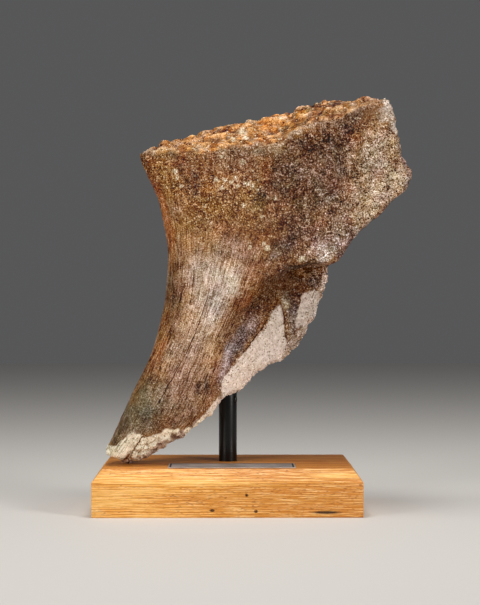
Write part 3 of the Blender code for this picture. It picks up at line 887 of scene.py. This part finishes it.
flecked = maths(tree, "SUBTRACT", times(mottle, mottle, mottle), MEAN_CUBE)
flecked = times(flecked, 1.3)
mottle_tone = add(tree, "Mix", {0: on_sponge, 2: flecked, 3: around(mottle, 1.02)}).outputs[0]
mottle_share = times(mottled, ranged(tree, on_sponge, 0.0, 1.0, 1.0, 0.8))
tones += [times(mottle_tone, mottle_share), times(around(fine, 0.72), read("speckled"))]

# %% Grains with dark gaps, and pale flecks
grains = cells(tree, place, 2.3)
lot = add(tree, "SeparateColor", {0: grains["Color"]}).outputs[0]
apart = grains["Distance"]
fleck = clouds(tree, place, 2.4, 2.0, 0.75)
pale = times(ranged(tree, lot, 0.55, 0.85), ranged(tree, apart, 0.42, 0.2))
pale = maths(tree, "MAXIMUM", pale, ranged(tree, fleck, 0.55, 0.64))
tones += [times(ranged(tree, apart, 0.15, 0.6, 0.09, -0.16), grainy), times(pale, grainy, 0.22)]

# %% Pores of the spongy bone, pits of the breaks and dark dots on the fresh bone
pore = ranged(tree, cells(tree, place, 2.4)["Distance"], 0.42, 0.2)
off_flake = ranged(tree, on_shaft, 0.3, 0.7, 0.7, 0.0)
pit_share = times(ranged(tree, coarse, 0.5, 0.6), on_break, 0.75)
for zone_share in [times(on_sponge, ranged(tree, coarse, 0.36, 0.5)),
                   times(on_crest, ranged(tree, coarse, 0.5, 0.58)),
                   times(pitted, ranged(tree, coarse, 0.4, 0.5)),
                   times(on_fresh, ranged(tree, fleck, 0.5, 0.58), off_flake)]:
    pit_share = maths(tree, "MAXIMUM", pit_share, zone_share)
pore = times(pore, pit_share)
dots = ranged(tree, cells(tree, place, 2.9)["Distance"], 0.3, 0.16)
dots = times(dots, on_fresh, ranged(tree, coarse, 0.46, 0.56, 0.06, 1.0))
tones += [times(pore, -0.3), times(dots, -0.34)]

# %% All changes of tone, added as the eye sees them
LIGHTER_IS_COOLER = (0.93, 1.0, 1.1)
DARKEST = (0.03, 0.02, 0.015)

shade = tones[0]
for tone_step in tones[1:]:
    shade = maths(tree, "ADD", shade, tone_step)
shade = vectors(tree, "SCALE", {0: LIGHTER_IS_COOLER, "Scale": shade})
seen = add(tree, "Gamma", {0: read("stain", "Color"), 1: 1 / DISPLAY}).outputs[0]
seen = vectors(tree, "ADD", {0: seen, 1: shade})
seen = vectors(tree, "MAXIMUM", {0: seen, 1: DARKEST})
colour = add(tree, "Gamma", {0: seen, 1: DISPLAY}).outputs[0]

# %% Crystals and curled crusts
crystal = times(ranged(tree, lot, 0.9, 0.93), ranged(tree, apart, 0.5, 0.35))
crystal_share = ranged(tree, maths(tree, "MAXIMUM", on_sponge, on_crest), 0.0, 1.0, 0.2, 0.75)
crystal = times(crystal, crystal_share)
colour = over(tree, colour, paint(222, 202, 172), crystal)
ring = maths(tree, "SUBTRACT", cells(tree, place, 4.4)["Distance"], 0.30)
ring = ranged(tree, maths(tree, "ABSOLUTE", ring), 0.09, 0.04)
curl = times(ring, ranged(tree, fleck, 0.47, 0.54), crusty)
colour = over(tree, colour, paint(212, 190, 164), times(curl, 0.75))

# %% Roughness and bump of the bone
gloss = ranged(tree, coarse, 0.3, 0.7, 0.34, 0.52)
for dull in (times(on_break, 0.22), times(maths(tree, "MAXIMUM", in_dip, on_crest), 0.2),
             times(pore, 0.3)):
    gloss = maths(tree, "ADD", gloss, dull)
relief = bump(tree, times(maths(tree, "SUBTRACT", streaks, hair), on_shaft), 0.6, 0.6)
relief = bump(tree, times(ranged(tree, apart, 0.6, 0.1), grainy), 0.9, 0.8, relief)
relief = bump(tree, times(mottle, mottled), 0.8, 2.0, relief)
relief = bump(tree, fine, 0.7, 0.8, relief)
relief = bump(tree, maths(tree, "SUBTRACT", crystal, pore), 0.8, 0.8, relief)
feed(tree, shader, {"Base Color": colour, "Roughness": gloss, "Normal": relief,
                    "Specular IOR Level": ranged(tree, in_dip, 0.0, 0.8, 0.16, 0.04)})
bone_mesh.materials.clear()
bone_mesh.materials.append(bone_finish)
print("nodes in the bone's finish:", len(tree.nodes))
place_piece("fossil_bone", bone_mesh, "pelvis_fragment")

# %% [markdown]
# ## The oak block
# The base is one block of oak with a chamfer round its top. Its sizes are read from the packed
# node, so it can't drift from it. The corners are eased with a small bevel, the rod's socket
# is cut by a boolean, and a few pin holes are drilled in the front as in the real block.

# %% Block, chamfer and eased edges
low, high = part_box("oak_base")
CHAMFER_IN, CHAMFER_DOWN = 10.0, 12.6

block = bmesh.new()
bmesh.ops.create_cube(block, size=1.0)
bmesh.ops.scale(block, verts=block.verts, vec=high - low)
bmesh.ops.translate(block, verts=block.verts, vec=(low + high) / 2)
top = [f for f in block.faces if f.normal.z > 0.9]
for vert in top[0].verts:
    vert.co.z = high.z - CHAMFER_DOWN * MM
raised = bmesh.ops.extrude_discrete_faces(block, faces=top)["faces"][0]
for vert in raised.verts:
    vert.co.z = high.z
    vert.co.x -= math.copysign(CHAMFER_IN * MM, vert.co.x)
    vert.co.y -= math.copysign(CHAMFER_IN * MM, vert.co.y)
bmesh.ops.bevel(block, geom=block.edges[:], offset=0.8 * MM, segments=3, profile=0.5,
                affect="EDGES", material=-1)
block_mesh = mesh_from(block, "oak_block")
print("block", [round(side / MM, 1) for side in high - low], "mm")

# %% Socket and pin holes
ROD_X, ROD_Y, ROD_RADIUS, GAP = 0.4, 6.0, 9.0, 0.3
PIN_HOLES = [(18.3, 21.6), (26.9, 6.1), (86.2, 5.1), (-15.1, 7.1)]
PIN_RADIUS, PIN_DEPTH = 1.0, 2.5
SOCKET_FLOOR, CUTTER_TOP = 20.0, 66.0  # the cutter stands out of the block's top


def drill(bm_tools, radius, depth, middle, turn_to_front=False):
    """Adds one round cutter to a mesh of cutters."""
    made = bmesh.ops.create_cone(bm_tools, cap_ends=True, segments=48 if radius > 5 else 16,
                                 radius1=radius * MM, radius2=radius * MM, depth=depth * MM)
    if turn_to_front:
        from_up = Vector((0, 0, 1)).rotation_difference(Vector((0, -1, 0))).to_matrix()
        bmesh.ops.rotate(bm_tools, verts=made["verts"], matrix=from_up)
    bmesh.ops.translate(bm_tools, verts=made["verts"], vec=Vector(middle) * MM)


cutters = bmesh.new()
socket_middle = (ROD_X, ROD_Y, (SOCKET_FLOOR + CUTTER_TOP) / 2)
drill(cutters, ROD_RADIUS + GAP, CUTTER_TOP - SOCKET_FLOOR, socket_middle)
for hole_x, hole_z in PIN_HOLES:
    drill(cutters, PIN_RADIUS, 2 * PIN_DEPTH, (hole_x, low.y / MM, hole_z), turn_to_front=True)
cutter = add_object("cutter", mesh_from(cutters, "cutters"))
block_mesh = with_modifiers(block_mesh, ("BOOLEAN", {"object": cutter, "solver": "EXACT"}))
bpy.data.objects.remove(cutter)
end_grain = block_mesh.attributes.new("end_grain", "FLOAT", "FACE")
for face in block_mesh.polygons:
    end_grain.data[face.index].value = float(abs(face.normal.x) > 0.6)
block_mesh.shade_smooth()
block_mesh.set_sharp_from_angle(angle=math.radians(35))
print("holes cut:", 1 + len(PIN_HOLES))

# %% [markdown]
# ## The oak's finish
# Boards show rings where a saw cuts across the trunk's layers. A wave texture of rings about
# an axis far below the block gives long lines on the front and top, and arcs on the two ends,
# as in real wood. Fine pores are short dark dashes along the grain, and the pin holes carry a
# dark stain.

# %% Rings of the trunk
oak_finish, tree, shader = new_finish("oiled_oak")
place = object_place(tree)
trunk = add(tree, "Mapping", {"Vector": place, "Location": (0.0, 0.06, 0.21),
                              "Rotation": (0.0, 0.010, 0.012), "Scale": (0.06, 1.0, 1.0)})


def trunk_rings(scale, wobble, detail, detail_scale, detail_roughness):
    """Rings about the trunk's axis, closer with more scale and wavier with more wobble."""
    return add(tree, "TexWave", {
        "Vector": trunk.outputs[0], "Scale": scale, "Distortion": wobble, "Detail": detail,
        "Detail Scale": detail_scale, "Detail Roughness": detail_roughness,
    }, wave_type="RINGS", rings_direction="X").outputs[0]


rings = add(tree, "Mix", {0: read("end_grain"), 2: trunk_rings(130.0, 11.0, 4.0, 0.5, 0.6),
                          3: trunk_rings(95.0, 2.2, 2.0, 0.4, 0.5)}).outputs[0]

# %% Colour bands, fibres and pores
along_block = add(tree, "SeparateXYZ", {0: place}).outputs[0]
height_up = add(tree, "SeparateXYZ", {0: place}).outputs[2]
fibre = clouds(tree, stretched(tree, place, 0.03, 1.0, 1.0), 0.7, 3.0, 0.65)
bands = clouds(tree, stretched(tree, place, 0.07, 1.0, 1.0), 9.0, 3.0)
dashes = clouds(tree, stretched(tree, place, 0.14, 1.0, 1.0), 0.55, 0.0)
dashes = times(ranged(tree, dashes, 0.345, 0.27), ranged(tree, bands, 0.62, 0.4, 0.25, 1.0))
colour = over(tree, paint(238, 176, 88), paint(204, 132, 50), ranged(tree, rings, 0.15, 0.95))
# Painted shade: the block grows darker towards its right end.
right_shade = ranged(tree, along_block, -55.0 * MM, 15.0 * MM)
colour = over(tree, colour, (0.82, 0.79, 0.75, 1.0), right_shade, "MULTIPLY")
end_shade = ranged(tree, along_block, 10.0 * MM, 125.0 * MM)
colour = over(tree, colour, (0.84, 0.74, 0.62, 1.0), end_shade, "MULTIPLY")
for layer, mask in [(paint(244, 192, 110), ranged(tree, bands, 0.5, 0.68, 0.0, 0.75)),
                    (paint(196, 122, 48), ranged(tree, bands, 0.47, 0.3, 0.0, 0.65)),
                    (paint(190, 118, 40), ranged(tree, fibre, 0.49, 0.35, 0.0, 0.85)),
                    (paint(254, 214, 150), ranged(tree, fibre, 0.52, 0.66, 0.0, 0.8)),
                    (paint(140, 80, 34), times(dashes, 0.7))]:
    colour = over(tree, colour, layer, mask)
# Painted shade: the top face is darker.
top_shade = ranged(tree, height_up, high.z - 0.7 * MM, high.z - 0.2 * MM)
colour = over(tree, colour, paint(222, 196, 162), top_shade, "MULTIPLY")

# %% Pin stains, drawn out along the grain
STAIN_LENGTHS = [1.0, 1.3, 9.0, 1.6]
for (hole_x, hole_z), length in zip(PIN_HOLES, STAIN_LENGTHS):
    middle = ((hole_x + length - 1.0) * MM, low.y, hole_z * MM)
    squeezed = vectors(tree, "SUBTRACT", {0: place, 1: middle})
    squeezed = vectors(tree, "MULTIPLY", {0: squeezed, 1: (1.0 / length, 1.0, 1.0)})
    away = add(tree, "VectorMath", {0: squeezed}, operation="LENGTH").outputs["Value"]
    colour = over(tree, colour, paint(46, 24, 12), ranged(tree, away, 1.9 * MM, 0.9 * MM, 0, 0.92))

# %% Gloss and bump of the oak
relief = bump(tree, fibre, 0.35, 0.25)
relief = bump(tree, maths(tree, "SUBTRACT", 1.0, dashes), 0.4, 0.25, relief)
feed(tree, shader, {"Base Color": colour, "Roughness": ranged(tree, fibre, 0.3, 0.7, 0.5, 0.36),
                    "Specular IOR Level": 0.25, "Normal": relief})
block_mesh.materials.clear()
block_mesh.materials.append(oak_finish)
print("nodes in the oak's finish:", len(tree.nodes))
place_piece("oak_block", block_mesh, "oak_base")

# %% [markdown]
# ## The rod
# The rod is turned steel painted satin black. It is a cylinder with eased ends, and a small
# bead of dark filler sits where it enters the bone. Paint on metal has faint dust and small
# changes in gloss, which keep it from looking like plastic.

# %% Rod and bead
BEAD_RADIUS = 3.4
BEAD_MIDDLE = (ROD_X + 7.0, ROD_Y - 5.2, 107.5)

rod_low, rod_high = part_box("stand_rod")
rod_bm = bmesh.new()
bmesh.ops.create_cone(rod_bm, cap_ends=True, segments=64, radius1=ROD_RADIUS * MM,
                      radius2=ROD_RADIUS * MM, depth=rod_high.z - rod_low.z)
bmesh.ops.translate(rod_bm, verts=rod_bm.verts,
                    vec=(ROD_X * MM, ROD_Y * MM, (rod_low.z + rod_high.z) / 2))
rims = [e for e in rod_bm.edges if abs(e.verts[0].co.z - e.verts[1].co.z) < 1e-6]
bmesh.ops.bevel(rod_bm, geom=rims, offset=0.6 * MM, segments=3, profile=0.5,
                affect="EDGES", material=-1)
bead = bmesh.ops.create_uvsphere(rod_bm, u_segments=20, v_segments=12,
                                 radius=BEAD_RADIUS * MM)
bmesh.ops.scale(rod_bm, verts=bead["verts"], vec=(0.7, 0.7, 1.15))
bmesh.ops.translate(rod_bm, verts=bead["verts"], vec=Vector(BEAD_MIDDLE) * MM)
rod_mesh = mesh_from(rod_bm, "black_rod")
rod_mesh.shade_smooth()
rod_mesh.set_sharp_from_angle(angle=math.radians(50))

# %% Satin black paint
black_finish, tree, shader = new_finish("satin_black")
place = object_place(tree)
smear = clouds(tree, place, 14.0, 3.0)
grit = clouds(tree, place, 0.8, 2.0)
black = over(tree, paint(5, 4, 4), paint(13, 12, 12), ranged(tree, smear, 0.5, 0.8))
feed(tree, shader, {"Base Color": black, "Roughness": ranged(tree, smear, 0.3, 0.7, 0.28, 0.34),
                    "Specular IOR Level": 0.25, "Normal": bump(tree, grit, 0.12, 0.12)})
rod_mesh.materials.append(black_finish)
place_piece("black_rod", rod_mesh, "stand_rod")

# %% [markdown]
# ## The label plate
# The plate is thin brushed metal with a fine dark line just inside its edge. Its face is
# blank. The line is made by insetting the top face twice and giving the narrow ring between
# its own material, because a real ring of faces stays sharp at any distance.

# %% Plate with an inset line
LINE_IN, LINE_WIDE, LINE_DEPTH = 1.2, 1.7, 0.03

plate_low, plate_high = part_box("label_plate")
plate_bm = bmesh.new()
bmesh.ops.create_cube(plate_bm, size=1.0)
bmesh.ops.scale(plate_bm, verts=plate_bm.verts, vec=plate_high - plate_low)
bmesh.ops.translate(plate_bm, verts=plate_bm.verts, vec=(plate_low + plate_high) / 2)
bmesh.ops.bevel(plate_bm, geom=plate_bm.edges[:], offset=0.15 * MM, segments=2, profile=0.5,
                affect="EDGES", material=-1)
face = max(plate_bm.faces, key=lambda f: f.normal.z * f.calc_area())
bmesh.ops.inset_region(plate_bm, faces=[face], thickness=LINE_IN * MM, use_even_offset=True)
line = bmesh.ops.inset_region(plate_bm, faces=[face], thickness=LINE_WIDE * MM,
                              depth=-LINE_DEPTH * MM, use_even_offset=True)
for ring_face in line["faces"]:
    ring_face.material_index = 1
plate_mesh = mesh_from(plate_bm, "label_plate_face")

# %% Brushed metal
metal_finish, tree, shader = new_finish("brushed_plate")
place = object_place(tree)
brushed = clouds(tree, stretched(tree, place, 0.02, 1.0, 1.0), 0.25, 3.0)
tarnish = ranged(tree, clouds(tree, place, 16.0, 3.0), 0.4, 0.75)
feed(tree, shader, {"Base Color": over(tree, paint(236, 220, 210), paint(188, 172, 162), tarnish),
                    "Roughness": ranged(tree, brushed, 0.3, 0.7, 0.28, 0.42),
                    "Metallic": 0.85, "Normal": bump(tree, brushed, 0.2, 0.05)})

# %% Dark line
line_finish, tree, shader = new_finish("dark_line")
worn = ranged(tree, clouds(tree, object_place(tree), 1.2), 0.5, 0.8)
feed(tree, shader, {"Base Color": over(tree, paint(12, 10, 14), paint(30, 26, 28), worn),
                    "Roughness": 0.5})
plate_mesh.materials.append(metal_finish)
plate_mesh.materials.append(line_finish)
place_piece("blank_plate", plate_mesh, "label_plate")

# %% [markdown]
# ## Floor, light and camera
# A plain pale floor reaches far behind the object. One large soft light stands to the right
# in front, one hangs above, a weaker one fills from the left, and the world adds a little.
# The camera is almost level and far away, with a long lens, as a museum photographer would
# set it.

# %% Pale floor
floor_bm = bmesh.new()
bmesh.ops.create_grid(floor_bm, x_segments=1, y_segments=1, size=3.0)
floor = add_object("studio_floor", mesh_from(floor_bm, "studio_floor"))
floor_finish, tree, shader = new_finish("pale_floor")
feed(tree, shader, {"Base Color": paint(206, 203, 199), "Roughness": 0.7})
floor.data.materials.append(floor_finish)
floor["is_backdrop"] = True


# %% Lights
def soft_light(name, place_at, aim, width, tall, power, colour):
    """A rectangular light of a size in metres, turned to its aim, with its power in watts."""
    lamp = bpy.data.lights.new(name, "AREA")
    lamp.shape = "RECTANGLE"
    lamp.size, lamp.size_y = width, tall
    lamp.energy = power
    lamp.color = colour
    light = add_object(name, lamp)
    light.location = place_at
    light.rotation_euler = (Vector(aim) - Vector(place_at)).to_track_quat("-Z", "Y").to_euler()


soft_light("key", (1.90, -1.65, 0.80), (0.0, 0.0, 0.2), 0.7, 1.0, 43.0, (1.0, 0.98, 0.95))
soft_light("top", (0.0, -0.16, 1.45), (0.0, 0.0, 0.25), 0.8, 0.5, 16.0, (1.0, 0.98, 0.95))
soft_light("fill", (-1.3, -1.2, 0.6), (0.0, 0.0, 0.2), 0.6, 0.9, 14.0, (1.0, 0.99, 0.97))
world = bpy.data.worlds.new("studio")
world.use_nodes = True
feed(world.node_tree, world.node_tree.nodes["Background"],
     {"Color": (0.80, 0.80, 0.82, 1.0), "Strength": 0.12})
bpy.context.scene.world = world
bpy.context.scene.view_settings.view_transform = "Standard"

# %% Camera
CAMERA_DOWN, CAMERA_TURN = 0.61, -0.44

camera_data = bpy.data.cameras.new("camera")
camera_data.lens = 97.3
camera_data.sensor_width = 36.0
camera_data.clip_end = 20.0
camera = add_object("camera", camera_data)
camera.location = (0.0, -1.632, 0.222)
camera.rotation_euler = (math.radians(90.0 - CAMERA_DOWN), 0.0, math.radians(CAMERA_TURN))
bpy.context.scene.camera = camera
print("camera at", [round(c, 3) for c in camera.location], "lens", round(camera_data.lens, 1))

# %% Sizes and the end
seen_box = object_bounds()
for name, box in ("cad", cad_box), ("seen", seen_box):
    print(name, "box in mm:", [[round(side / MM, 1) for side in corner] for corner in box])
